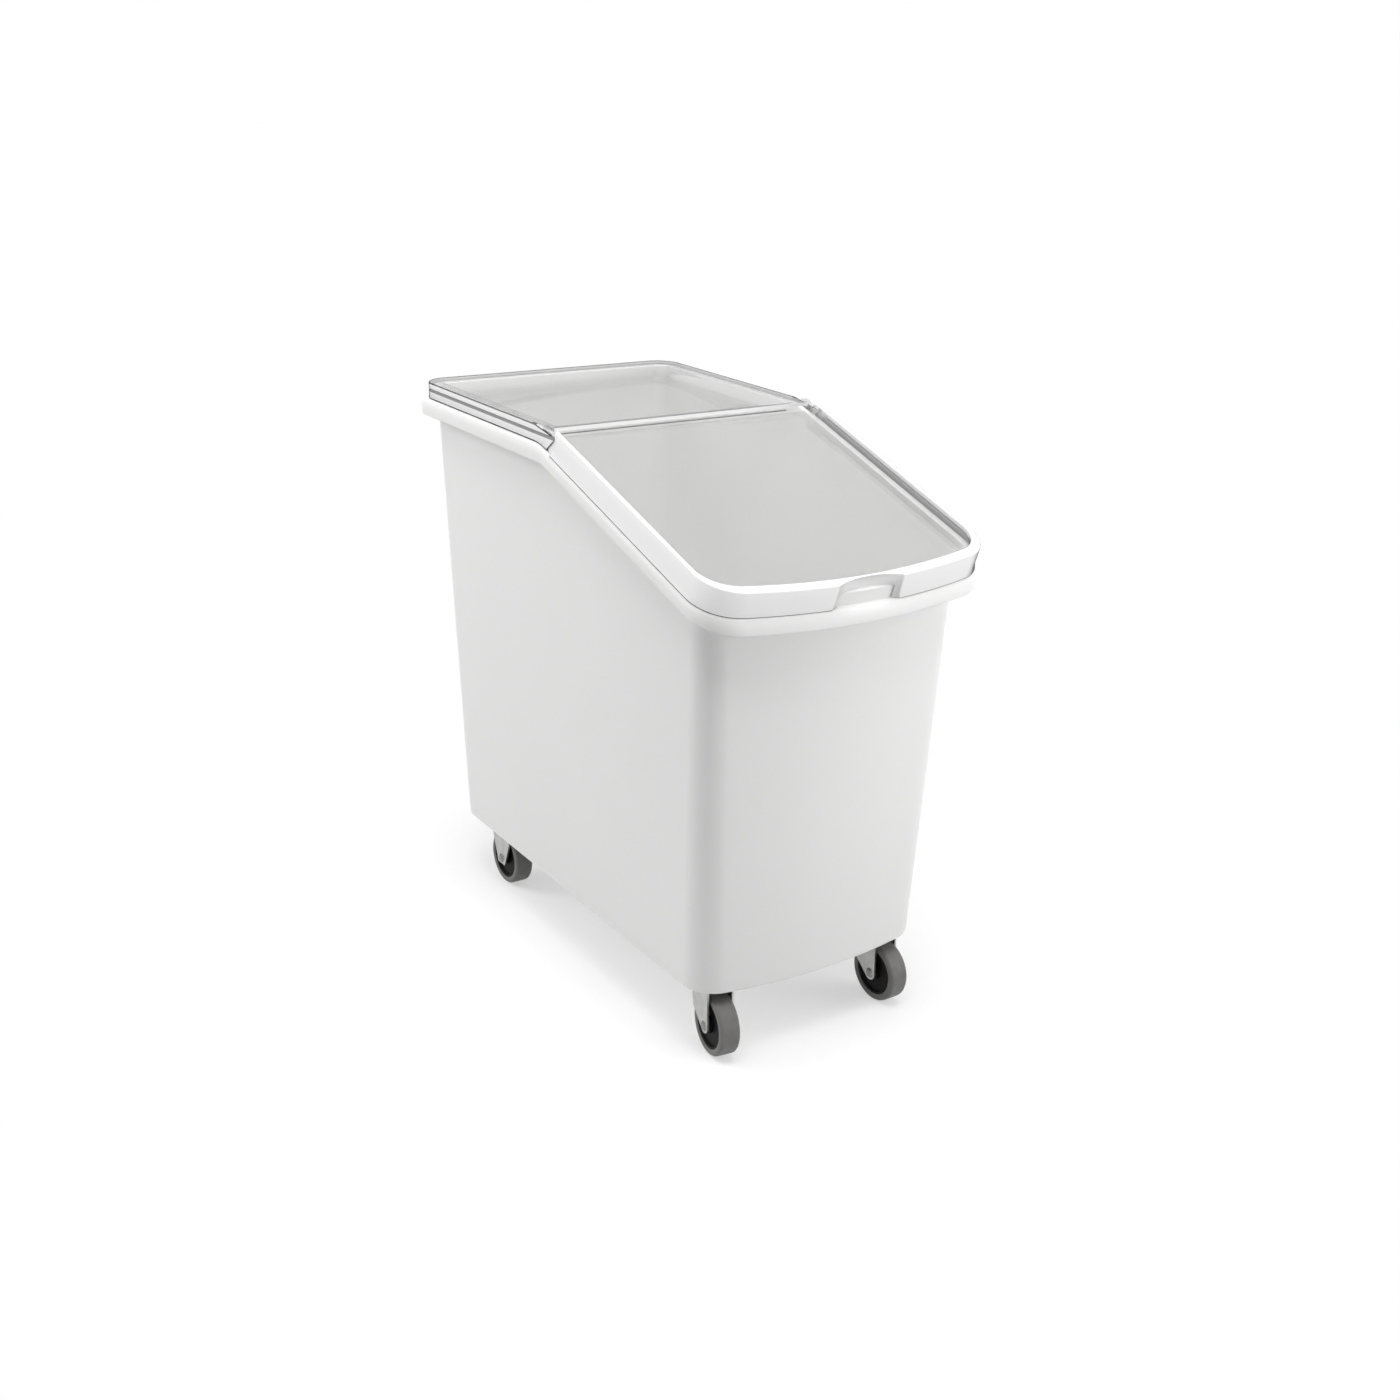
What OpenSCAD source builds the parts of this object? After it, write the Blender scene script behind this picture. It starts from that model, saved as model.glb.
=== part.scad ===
// Rolling ingredient bin: moulded tub on four casters, clear fixed rear lid,
// clear hinged front lid. Millimetres, Z up, the front faces -Y, floor at Z = 0.

/* [Tub] */
// Inset of the foot from the lid edge at the sides
base_in = 28.5; // [24:0.5:36]
// Inset of the foot from the lid edge at the front
base_in_front = 39; // [32:0.5:48]
// Inset of the foot from the lid edge at the back
base_in_back = 31.5; // [26:0.5:40]
// Height of the foot above the floor
base_z = 89; // [88:0.5:94]
// Corner radius of the foot
base_r = 42; // [34:1:48]
// Bulge of the front wall at the foot
base_bow = 20; // [8:1:28]
// Wall thickness
wall_t = 4.5; // [3.5:0.1:6]
// Rounding of the foot edge
foot_r = 3; // [1.5:0.25:4]
// Width of the foot edge
foot_t = 5; // [4:0.25:6]
// Depth of the hollow under the floor, from the foot edge
under_h = 19; // [17:0.5:23]
// Floor thickness
floor_t = 5; // [4:0.25:7]
// Radius between floor and walls inside
floor_r = 14; // [8:1:20]

/* [Rim] */
// Height of the ledge that the lids stand over, at the back
ledge_z = 678.5; // [640:0.5:720]
// Slope of the front part of the mouth in degrees
slope = 17.25; // [14:0.25:20]
// Where the mouth starts to bend, from the middle
bend_y = 37; // [25:1:50]
// Radius of the bend
bend_r = 90; // [70:1:110]
// How far the rim stands out past the lids at the sides and front
rim_over = 4.5; // [4.5:0.1:8]
// How far the rim stands out past the rear lid at the back
rim_back_over = 17.25; // [14:0.25:20]
// Thickness of the turned-down lip
lip_t = 4.4; // [3.6:0.1:5]
// Height of the turned-down lip round the sloped part
lip_h = 18.7; // [16:0.1:24]
// Height of the turned-down lip along the flat back part
lip_back_h = 22; // [18.7:0.1:26]
// Width of the rounded shoulder on top of the rim
rim_r = 4.4; // [2:0.1:4.5]
// Fall of the rounded shoulder down the lip
rim_fall = 13; // [8:0.25:13.5]
// Thickness of the flange that carries the lip
flange_t = 6; // [4.5:0.25:8]
// Height of the upstand inside the lids
up_h = 17; // [15:0.25:17]
// Rounding of the upstand's edges
up_r = 1.5; // [1:0.1:2]
// Inset of the upstand's outer face from the lid edge
up_in = 5; // [4.7:0.1:5.5]
// Thickness of the upstand
up_t = 9; // [8:0.25:10]
// Inset of the outer wall under the rim, at the sides
wall_in = 13; // [11.5:0.25:15]
// Inset of the outer wall under the rim, at the front
wall_in_front = 25; // [18:0.5:30]
// Inset of the outer wall under the rim, at the back
wall_in_back = 11; // [9.5:0.25:14]

/* [Lids] */
// Width over both lids
lid_w = 385; // [372:1:400]
// Length of the mouth's slope up to the lid's front edge
lid_run = 388.8; // [380:0.1:396]
// Corner radius at the front
lid_front_r = 50; // [40:1:60]
// Corner radius at the back
lid_back_r = 33; // [30:1:45]
// Bulge of the front edge
lid_bow = 24; // [10:1:30]
// Wall thickness of both lids
lid_t = 3; // [2.5:0.1:3.2]
// Height of the rear lid over the ledge
rear_h = 21.5; // [21:0.25:23]
// Width of the rear lid's top band
band_w = 20; // [19.5:0.25:24]
// Depth of the dish in the rear lid
dish_h = 16; // [13:0.25:16.5]
// Thickness of the dished panel
dish_t = 3; // [2.5:0.1:3.5]
// Thickness of the ridge at the hinge
ridge_t = 4.5; // [4:0.1:4.5]
// Where the ridge ends, in front of the bend
ridge_back = 35; // [32:0.5:36]
// Width of the ridge
ridge_w = 7; // [5:0.5:9]
// Length of the ramp from ridge to dish
ramp_l = 73; // [60:1:90]
// Height of the front lid's walls over the ledge
front_h = 31; // [29:0.25:33]
// Height of the front panel's underside over the ledge
panel_h = 17.4; // [17.3:0.05:18.5]
// Gap between lid skirts and ledge
skirt_gap = 0.5; // [0.3:0.05:1]
// Rounding of the lids' top edges
lid_r = 1.5; // [0.8:0.1:1.5]
// Width of the finger notch
notch_w = 96; // [80:1:110]
// Depth of the finger notch
notch_d = 10; // [8:0.5:16]

/* [Hinge] */
// Pivot distance in front of the bend
pivot_in = 26; // [24:0.25:28]
// Pivot height over the ledge
pivot_h = 12; // [10.5:0.25:13.5]
// Pivot stub radius
stub_r = 4; // [3:0.25:5]
// Ear radius about the pivot
ear_r = 12.5; // [11:0.25:13]
// Ear thickness
ear_t = 4; // [3:0.1:4.2]
// Space at each side of an ear
ear_gap = 0.5; // [0.4:0.05:0.6]
// Radius of the pocket in the upstand
pocket_r = 15.6; // [15:0.1:16]
// Where the slots in the rear lid end, in front of the bend
slot_in = 1; // [-4:0.5:3]
// Panel's rear edge, along the slope from the bend
panel_start = 10; // [9:0.25:12]
// Ear arm's front end, along the slope from the bend
arm_end = 43; // [38:1:60]
// Foot of the split between the lids' side walls, in front of the bend
split_foot = 31; // [29:0.5:33]
// Depth of that foot under the ledge
split_drop = 2.5; // [1:0.25:4]
// Top of the split between the lids' side walls, in front of the bend
split_head = 51; // [48:0.5:52]
// Height of that top over the ledge
split_rise = 12.5; // [11:0.25:14]
// Gap between the lids' side walls
split_gap = 1; // [0.6:0.1:2]
// Space between the lids' side walls where they lap
lap_gap = 0.4; // [0.3:0.05:0.6]
// How far the rear lid's cheeks reach in front of the bend
cheek_in = 53; // [52.5:0.5:56]
// Start of the cheeks' falling top edge, behind the bend
cheek_back = 7; // [3:0.5:15]

/* [Casters] */
// Swivel axis inset from the side of the foot
swivel_in = 42.5; // [40:0.5:52]
// Swivel axis inset from the front of the foot
swivel_in_front = 68; // [60:0.5:80]
// Rigid caster inset from the side of the foot
rigid_in = 37.5; // [37:0.5:52]
// Rigid caster inset from the back of the foot
rigid_in_back = 88; // [65:0.5:115]
// Swivel turn of the left front caster in degrees
turn_left = -8; // [-40:1:40]
// Swivel turn of the right front caster in degrees
turn_right = 1; // [-40:1:40]
// Height of the caster bosses under the floor
boss_h = 8; // [7:0.25:9]
// Side of the square top plate
plate_w = 58; // [56:0.5:62]
// Thickness of the top plate
plate_t = 2.5; // [2:0.1:3]
// Corner radius of the top plate
plate_r = 8; // [5:0.5:10]
// Screw spacing across the bin
screw_dx = 38; // [36:0.5:40]
// Screw spacing along the bin
screw_dy = 46; // [44:0.5:46.5]
// Screw radius
screw_r = 3; // [2.5:0.1:3]
// Screw length under the head
screw_l = 12; // [10:0.5:12.5]
// Screw head radius
head_r = 5.2; // [4.5:0.1:5.5]
// Screw head height
head_h = 3; // [2:0.1:3.5]
// Radius of the drive recess in the screw heads
drive_r = 1.8; // [1.2:0.1:2.2]
// Depth of the drive recess
drive_d = 1.6; // [1:0.1:2]
// Boss radius round each screw
boss_r = 7; // [6:0.25:8]
// Thickness of the ribs between bosses
rib_t = 3; // [2:0.25:4]
// Distance from the swivel axis to the axle
trail = 35; // [30:0.5:38]
// Space between the foot edge and the swivel forks below it
fork_gap = 2; // [1.5:0.25:3]
// Steel thickness of the forks
fork_t = 2.5; // [2:0.1:3]
// Radius of the fork's crown
crown_r = 24; // [21:0.5:25]
// Space between the fork legs
leg_gap = 30; // [29.5:0.5:34]
// Radius of the leg tips
tip_r = 9; // [8:0.25:10]
// Leg top behind the swivel axis
leg_back = 2; // [0:0.5:14]
// Leg top in front of the swivel axis
leg_front = 41; // [36:0.5:43]
// Height where the rear edge of the leg turns to the tip
knee_z = 52; // [48:0.5:60]
// That place in front of the swivel axis
knee_in = 4; // [0:0.5:8]
// Width of the rigid legs at the top
rigid_w = 58; // [50:0.5:60]
// Width of the rigid legs at the bottom
rigid_end = 19; // [18.5:0.25:24]
// Height where the rigid legs start to narrow
rigid_knee = 82; // [70:0.5:90]
// How far the rigid legs reach below the axle
rigid_low = 8.5; // [8:0.25:11]
// Ball radius of the upper race
ball_r = 2.5; // [2:0.05:3]
// Pitch radius of the upper race
race_r = 15; // [14:0.25:16]
// Balls in the upper race
ball_n = 14; // [10:1:16]
// Ball radius of the lower race
low_ball_r = 2; // [1.5:0.05:2.2]
// Pitch radius of the lower race
low_race_r = 10; // [9.5:0.25:11]
// Balls in the lower race
low_ball_n = 12; // [8:1:14]
// Width of the pressed ring on the plate
ring_w = 9; // [7:0.25:10]
// Kingpin radius
king_r = 5; // [4:0.25:6]
// Kingpin head radius
king_head_r = 8; // [7:0.25:9]
// Kingpin head height
king_head_h = 2.5; // [2:0.1:3]
// Lower race cup radius
cup_r = 14; // [13:0.25:15]
// Lower race cup thickness
cup_t = 3; // [2.5:0.1:3.5]

/* [Wheels] */
// Wheel diameter
wheel_d = 76; // [70:0.5:78]
// Tread width
tread_w = 26; // [22:0.5:28]
// Rounding of the tread's shoulders
tread_r = 4; // [3:0.25:4.5]
// Wheel core radius
core_r = 29.5; // [26:0.25:30.5]
// Wheel core width
core_w = 24; // [20:0.25:25]
// Hub radius
hub_r = 10; // [8.5:0.25:12]
// Play between hub and each leg
hub_play = 1; // [0.5:0.1:1.5]
// Dish of the core's faces
core_dish = 2.5; // [1:0.1:4]
// Width of the core's outer ring
core_ring = 4; // [3:0.25:5]
// Axle sleeve radius
sleeve_r = 6; // [5:0.1:7]
// Axle rivet radius
rivet_r = 4; // [3:0.1:4.5]
// Rivet head radius
rivet_head_r = 6.5; // [5.5:0.1:7.5]
// Rivet head height
rivet_head_h = 2; // [1.5:0.1:2.5]

/* [Fits] */
// Radial clearance where parts turn on each other
run_fit = 0.05; // [0.02:0.01:0.1]
// Radial clearance round fixed pins and screws
pin_fit = 0.05; // [0.02:0.01:0.15]
// Radial space between kingpin and fork
king_gap = 0.6; // [0.4:0.05:0.8]
// Depth by which the hinge cuts bite into the lids' side walls
skim = 0.2; // [0.1:0.05:0.4]
// Overrun of cuts
over = 1; // [0.5:0.1:2]

/* [Hidden] */
$fn = 64;
bow_n = 6;
corner_n = 8;
bend_n = 4;
back_n = 2;
round_n = 4;
round_step = 90 / round_n;
arc_len = bend_r * slope * PI / 180;
notch_bow = lid_bow * pow(notch_w / lid_w, 2);
front_y = bend_y - (bend_r + front_h) * sin(slope) - (lid_run - notch_bow) * cos(slope);
lid_back = -front_y - rim_back_over;
base_hw = lid_w / 2 - base_in;
base_front = bend_r * sin(slope) + lid_run * cos(slope) - bend_y - base_in_front;
base_back = lid_back - base_in_back;
under_z = base_z + under_h;
mount_z = under_z - boss_h;
fork_z = base_z - fork_gap;
swivel_x = base_hw - swivel_in;
swivel_y = base_front - swivel_in_front;
rigid_x = base_hw - rigid_in;
rigid_y = base_back - rigid_in_back;
pivot_y = bend_y - pivot_in;
pivot_z = ledge_z + pivot_h;
ridge_y = bend_y - ridge_back;
slot_y = bend_y - slot_in;
split_low = [bend_y - split_foot, ledge_z - split_drop];
split_high = [bend_y - split_head, ledge_z + split_rise];
split_dir = (split_high - split_low) / norm(split_high - split_low);
pivot_off = [pivot_y, pivot_z] - split_low;
lap_r = abs(split_dir[0] * pivot_off[1] - split_dir[1] * pivot_off[0]);
sweep_r = norm(split_high - [pivot_y, pivot_z]) + split_gap;
lap_t = (lid_t - lap_gap) / 2;
cheek_reach = cheek_in - bend_y;
cheek_fall = bend_y + cheek_back;
lid_hw = lid_w / 2;
lid_front_s = arc_len + lid_run;
lid_back_s = bend_y - lid_back;
floor_z = under_z + floor_t;
axle_z = wheel_d / 2;
skirt_x = lid_hw - lid_t;
cut_x = skirt_x + skim;
ear_x = skirt_x - ear_gap - ear_t;
slot_x = ear_x - ear_gap;
rear_top = ledge_z + rear_h;
rear_low = ledge_z - lip_h;
dish_z = rear_top - dish_h - dish_t;
ridge_in = ridge_y + ridge_w;
race_low = fork_z + 2 * ball_r;
cup_z = fork_z - fork_t - 2 * low_ball_r;
king_low = cup_z - cup_t;
leg_x = leg_gap / 2;
hub_w = leg_gap - 2 * hub_play;
fronts = [["fl", -swivel_x, turn_left], ["fr", swivel_x, turn_right]];
rears = [["rl", -rigid_x], ["rr", rigid_x]];

// Height line of the mouth: flat at the back, a bend, then the slope
function bent(p, n) =
  let (q = p[1] / bend_r * 180 / PI)
  p[1] <= 0 ? [p[0], bend_y - p[1], ledge_z + n] :
  p[1] <= arc_len ? [p[0], bend_y - (bend_r + n) * sin(q), ledge_z - bend_r + (bend_r + n) * cos(q)] :
  sloped(p, n);

// The same on the plane of the slope alone
function sloped(p, n) = [
  p[0],
  bend_y - (bend_r + n) * sin(slope) - (p[1] - arc_len) * cos(slope),
  ledge_z - bend_r + (bend_r + n) * cos(slope) - (p[1] - arc_len) * sin(slope)];

function level(p, z) = [p[0], -p[1], z];

// Outlines run anticlockwise seen from above, from the front centre
function bow_at(x, hw, bow) = bow * pow(x / hw, 2);

function bow_tilt(x, hw, bow) = atan(2 * bow * x / (hw * hw));

function tilt(hw, r, bow) = bow_tilt(hw - r * (1 - sin(bow_tilt(hw - r, hw, bow))), hw, bow);

function front_half(hw, front, r, bow) =
  let (a = tilt(hw, r, bow), xe = hw - r * (1 - sin(a)), ct = front - bow_at(xe, hw, bow) - r * cos(a))
  concat(
    [for (i = [0 : bow_n - 1]) [xe * i / bow_n, front - bow_at(xe * i / bow_n, hw, bow)]],
    [for (i = [0 : corner_n]) let (b = a + (90 - a) * i / corner_n) [hw - r + r * sin(b), ct + r * cos(b)]]);

function back_half(hw, back, r) = concat(
  [for (i = [0 : corner_n]) let (b = 90 * i / corner_n) [hw - r + r * cos(b), back + r - r * sin(b)]],
  [for (i = [1 : back_n]) [(hw - r) * (1 - i / back_n), back]]);

function both(half) = let (n = len(half)) concat(half, [for (i = [n - 2 : -1 : 1]) [-half[i][0], half[i][1]]]);

function bend_stations() = [for (i = [bend_n : -1 : 0]) arc_len * i / bend_n];

function side(hw, ts) = [for (t = ts) [hw, t]];

// Outline round the mouth, inset from the lid edge
function mouth(in_side, in_front, in_back) = both(concat(
  front_half(lid_hw - in_side, lid_front_s - in_front, lid_front_r - in_side, lid_bow),
  side(lid_hw - in_side, bend_stations()),
  back_half(lid_hw - in_side, lid_back_s + in_back, lid_back_r - in_side)));

// Outline of the foot, inset
function foot(in) = both(concat(
  front_half(base_hw - in, base_front - in, base_r - in, base_bow),
  side(base_hw - in, [for (s = bend_stations()) -bent([0, s], 0)[1]]),
  back_half(base_hw - in, -base_back + in, base_r - in)));

function ring(in, n) = [for (p = mouth(in, in, in)) bent(p, n)];

function wall_ring(in, n) = [for (p = mouth(wall_in + in, wall_in_front + in, wall_in_back + in)) bent(p, n)];

// Outline round the rim at the ledge, inset from its outer edge
function rim_line(in) = [for (p = mouth(in - rim_over, in - rim_over, in - rim_back_over)) bent(p, 0)];

// Outline round the rim, straight below the ledge
function rim_ring(in, drop) = [for (p = rim_line(in)) p - [0, 0, drop]];

// Outline round the lip, straight above its lower edge
function lip_ring(in, up) = [for (p = rim_line(in)) [p[0], p[1], min(p[2] - lip_h, ledge_z - lip_back_h) + up]];

function foot_ring(in, z) = [for (p = foot(in)) level(p, z)];

function steps() = [for (i = [0 : round_n]) i * round_step];

// Closed skin through loops of the same length, capped at both ends
module skin(loops) {
  n = len(loops[0]);
  m = len(loops);
  polyhedron(
    points = [for (l = loops) for (p = l) p],
    faces = concat(
      [[for (j = [0 : n - 1]) j]],
      [for (i = [0 : m - 2]) for (j = [0 : n - 1]) [i * n + j, (i + 1) * n + j, (i + 1) * n + (j + 1) % n]],
      [for (i = [0 : m - 2]) for (j = [0 : n - 1]) [i * n + j, (i + 1) * n + (j + 1) % n, i * n + (j + 1) % n]],
      [[for (j = [n - 1 : -1 : 0]) (m - 1) * n + j]]));
}

// Shape drawn in y and z, extruded along x between two places
module along_x(x0, x1) {
  translate([x0, 0, 0])
    rotate([90, 0, 90])
      linear_extrude(x1 - x0)
        children();
}

module pivot_rod(r, x0, x1) {
  translate([x0, pivot_y, pivot_z])
    rotate([0, 90, 0])
      cylinder(r = r, h = x1 - x0);
}

module both_sides() {
  children();
  mirror([1, 0, 0])
    children();
}

// Tub
function tub_loops() = concat(
  [foot_ring(foot_t + foot_r, under_z), foot_ring(foot_t, base_z)],
  [for (a = steps()) foot_ring(foot_r * (1 - sin(a)), base_z + foot_r * (1 - cos(a)))],
  [wall_ring(0, -flange_t), rim_ring(lip_t, flange_t)],
  [for (i = [0 : 2 * round_n]) let (a = i * round_step)
    lip_ring(lip_t / 2 * (1 + cos(a)), lip_t / 2 * (1 - sin(a)))],
  [for (a = steps()) rim_ring(rim_r * (1 - cos(a)), rim_fall * (1 - sin(a)))],
  [ring(up_in, 0)],
  [for (a = steps()) ring(up_in + up_r * (1 - cos(a)), up_h - up_r * (1 - sin(a)))],
  [for (a = steps()) ring(up_in + up_t - up_r + up_r * sin(a), up_h - up_r * (1 - cos(a)))],
  [wall_ring(wall_t, -flange_t)],
  [for (a = steps()) foot_ring(wall_t + floor_r * (1 - cos(a)), floor_z + floor_r * (1 - sin(a)))]);

module seat(x, y) {
  for (i = [-1, 1])
    for (j = [-1, 1])
      translate([x + i * screw_dx / 2, y + j * screw_dy / 2, mount_z])
        cylinder(r = boss_r, h = under_z - mount_z + over);
  for (i = [-1, 1]) {
    translate([x + i * screw_dx / 2 - rib_t / 2, y - screw_dy / 2, mount_z])
      cube([rib_t, screw_dy, under_z - mount_z + over]);
    translate([x - screw_dx / 2, y + i * screw_dy / 2 - rib_t / 2, mount_z])
      cube([screw_dx, rib_t, under_z - mount_z + over]);
  }
}

module seat_holes(x, y) {
  for (i = [-1, 1])
    for (j = [-1, 1])
      translate([x + i * screw_dx / 2, y + j * screw_dy / 2, mount_z - over])
        cylinder(r = screw_r + pin_fit, h = screw_l - plate_t + 2 * over);
}

module tub() {
  color("white")
    difference() {
      union() {
        skin(tub_loops());
        for (f = fronts)
          seat(f[1], -swivel_y);
        for (r = rears)
          seat(r[1], rigid_y);
      }
      for (f = fronts)
        seat_holes(f[1], -swivel_y);
      for (r = rears)
        seat_holes(r[1], rigid_y);
      both_sides()
        pivot_rod(pocket_r, slot_x, skirt_x);
    }
}

// Side view point from distances along and above the slope, from the bend's end and the ledge
function yz(run, n) = let (p = sloped([0, arc_len + run], n)) [p[1], p[2]];

function flat(ps) = [for (p = ps) [p[0], -p[1]]];

// Rear lid in plan, inset from the lid edge, its hinge side ending at y
function rear_outline(in, y) = flat(both(concat(
  [[0, -y], [lid_hw - in, -y]],
  back_half(lid_hw - in, -lid_back + in, lid_back_r - in))));

module rear_slab(in, y, z0, z1) {
  translate([0, 0, z0])
    linear_extrude(z1 - z0)
      polygon(rear_outline(in, y));
}

// Band of a wall between two insets, open towards the hinge
module rear_wall(in, t, y, z0, z1) {
  translate([0, 0, z0])
    linear_extrude(z1 - z0)
      difference() {
        polygon(rear_outline(in, y));
        polygon(rear_outline(in + t, y - over));
      }
}

// Everything below the lid skirts
module ledge_below() {
  polygon(concat(
    [[lid_back + over, rear_low], [lid_back + over, ledge_z + skirt_gap]],
    [for (i = [0 : bend_n]) let (p = bent([0, arc_len * i / bend_n], skirt_gap)) [p[1], p[2]]],
    [yz(2 * cheek_fall, skirt_gap), [yz(2 * cheek_fall, skirt_gap)[0], rear_low]]));
}

module cheek_cut() {
  polygon([
    [cheek_fall, rear_top + over], [cheek_fall, rear_top], split_high, split_low,
    [split_low[0], rear_low], [-cheek_fall, rear_low], [-cheek_fall, rear_top + over]]);
}

// Inner half of the cheeks, beyond the circle that the front lid's walls turn round
module cheek_lap() {
  difference() {
    polygon([
      [split_low[0], rear_low], [split_low[0], rear_top],
      [-cheek_reach - over, rear_top], [-cheek_reach - over, rear_low]]);
    translate([pivot_y, pivot_z])
      circle(r = lap_r);
  }
}

module ramp() {
  polygon([
    [ridge_in - lid_t, rear_top], [ridge_in, rear_top], [ridge_in + ramp_l, dish_z + dish_t],
    [ridge_in + ramp_l + lid_t, dish_z + dish_t], [ridge_in + ramp_l + lid_t, dish_z],
    [ridge_in + ramp_l, dish_z], [ridge_in, rear_top - ridge_t], [ridge_in - lid_t, rear_top - ridge_t]]);
}

module rear_lid() {
  color("lightcyan", 0.4) {
    difference() {
      union() {
        rear_wall(0, lid_t, -cheek_reach, rear_low + over, rear_top);
        difference() {
          rear_slab(lid_t / 2, ridge_y, rear_top - ridge_t, rear_top);
          rear_slab(band_w, ridge_in, rear_top - ridge_t - over, rear_top + over);
        }
        rear_wall(band_w - lid_t, lid_t, ridge_in, dish_z, rear_top - ridge_t / 2);
        rear_slab(band_w - lid_t / 2, ridge_in + ramp_l, dish_z, dish_z + dish_t);
        along_x(-lid_hw + band_w - lid_t / 2, lid_hw - band_w + lid_t / 2)
          ramp();
      }
      along_x(-lid_hw - over, lid_hw + over)
        ledge_below();
      both_sides()
        translate([slot_x, -cheek_reach - over, rear_low])
          cube([cut_x - slot_x, cheek_reach + over + slot_y, rear_top - rear_low + over]);
      both_sides()
        along_x(skirt_x - over, lid_hw + over)
          cheek_cut();
      both_sides()
        along_x(skirt_x - over, lid_hw - lap_t)
          cheek_lap();
    }
    both_sides()
      pivot_rod(stub_r, ear_x, skirt_x + lid_t / 2);
  }
}

// Front lid, drawn flat: y runs up the slope from the end of the bend, z stands off the slope
function front_outline(in, start) = flat(both(concat(
  front_half(lid_hw - in, lid_run - in, lid_front_r - in, lid_bow),
  [[lid_hw - in, start], [0, start]])));

module on_slope() {
  translate(sloped([0, arc_len], 0))
    rotate([slope, 0, 0])
      children();
}

module front_tray() {
  on_slope() {
    translate([0, 0, skirt_gap])
      linear_extrude(front_h - skirt_gap)
        difference() {
          polygon(front_outline(0, 0));
          polygon(front_outline(lid_t, -over));
        }
    translate([0, 0, panel_h])
      linear_extrude(lid_t)
        polygon(front_outline(lid_t / 2, panel_start));
  }
}

module split_cut() {
  polygon([
    [split_low[0] + cheek_fall, rear_low], [split_low[0] - split_gap, rear_low],
    [split_low[0] - split_gap, split_low[1]], [split_high[0] - split_gap, split_high[1]],
    [split_high[0] - split_gap, rear_top + front_h], [split_low[0] + cheek_fall, rear_top + front_h]]);
}

module ear() {
  along_x(ear_x, ear_x + ear_t)
    polygon([
      [pivot_y, pivot_z + ear_r], yz(panel_start, front_h - 2 * lid_t), yz(panel_start + ear_r / 2, front_h - lid_r),
      yz(arm_end, front_h - lid_r), yz(arm_end, panel_h + lid_t / 2), yz(panel_start + lid_t, panel_h + lid_t / 2),
      [pivot_y - ear_r, pivot_z], [pivot_y, pivot_z]]);
  pivot_rod(ear_r, ear_x, ear_x + ear_t);
  along_x(ear_x + ear_t / 2, skirt_x + lid_t / 2)
    polygon([
      yz(panel_start + 2 * ear_r, front_h - 2 * lid_r), yz(arm_end - lid_r, front_h - 2 * lid_r),
      yz(arm_end - lid_r, panel_h + lid_t / 2), yz(panel_start + 2 * ear_r, panel_h + lid_t / 2)]);
}

notch_r = (notch_w * notch_w / 4 + notch_d * notch_d) / (2 * notch_d);

module front_lid() {
  color("lightcyan", 0.4)
    difference() {
      union() {
        difference() {
          front_tray();
          both_sides()
            along_x(skirt_x - over, lid_hw + over)
              split_cut();
          both_sides()
            pivot_rod(sweep_r, skirt_x + lap_t, lid_hw + over);
        }
        both_sides()
          ear();
      }
      both_sides()
        pivot_rod(stub_r + run_fit, ear_x - over, skirt_x);
      on_slope()
        translate([0, notch_d - lid_run - notch_r, -over])
          cylinder(r = notch_r, h = front_h + 2 * over);
    }
}

// Caster parts are drawn at the swivel axis with the axle in front
module put_front(f) {
  translate([f[1], -swivel_y, 0])
    rotate([0, 0, f[2]])
      children();
}

module put_rear(r) {
  translate([r[1], rigid_y, 0])
    children();
}

module plate_blank() {
  for (a = [0, 90])
    rotate([0, 0, a])
      translate([-plate_w / 2 + plate_r, -plate_w / 2, mount_z - plate_t])
        cube([plate_w - 2 * plate_r, plate_w, plate_t]);
  for (i = [-1, 1])
    for (j = [-1, 1])
      translate([i * (plate_w / 2 - plate_r), j * (plate_w / 2 - plate_r), mount_z - plate_t])
        cylinder(r = plate_r, h = plate_t);
}

module plate_holes() {
  for (i = [-1, 1])
    for (j = [-1, 1])
      translate([i * screw_dx / 2, j * screw_dy / 2, mount_z - plate_t - over])
        cylinder(r = screw_r + pin_fit, h = plate_t + 2 * over);
}

module swivel_plate(f) {
  color("silver")
    translate([f[1], -swivel_y, 0])
      difference() {
        union() {
          plate_blank();
          translate([0, 0, race_low])
            cylinder(r = race_r + ring_w / 2, h = mount_z - race_low - plate_t / 2);
        }
        plate_holes();
        translate([0, 0, race_low - over])
          cylinder(r = king_r + pin_fit, h = mount_z - race_low + 2 * over);
      }
}

module plate_screws(x, y) {
  color("gainsboro")
    for (i = [-1, 1])
      for (j = [-1, 1])
        translate([x + i * screw_dx / 2, y + j * screw_dy / 2, mount_z - plate_t])
          difference() {
            union() {
              cylinder(r = screw_r, h = screw_l);
              translate([0, 0, -head_h])
                cylinder(r1 = head_r - head_h / 2, r2 = head_r, h = head_h);
            }
            translate([0, 0, -head_h - over])
              cylinder(r = drive_r, h = drive_d + over, $fn = 6);
          }
}

module kingpin(f) {
  color("gainsboro")
    put_front(f) {
      translate([0, 0, king_low])
        cylinder(r = king_r, h = mount_z - plate_t / 2 - king_low);
      translate([0, 0, king_low - king_head_h])
        cylinder(r1 = king_head_r - king_head_h / 2, r2 = king_head_r, h = king_head_h);
    }
}

module ball_ring(f, r, pitch, n, z) {
  color("gainsboro")
    put_front(f)
      for (i = [0 : n - 1])
        rotate([0, 0, 360 * i / n])
          translate([pitch, 0, z])
            sphere(r = r, $fn = 24);
}

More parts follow.
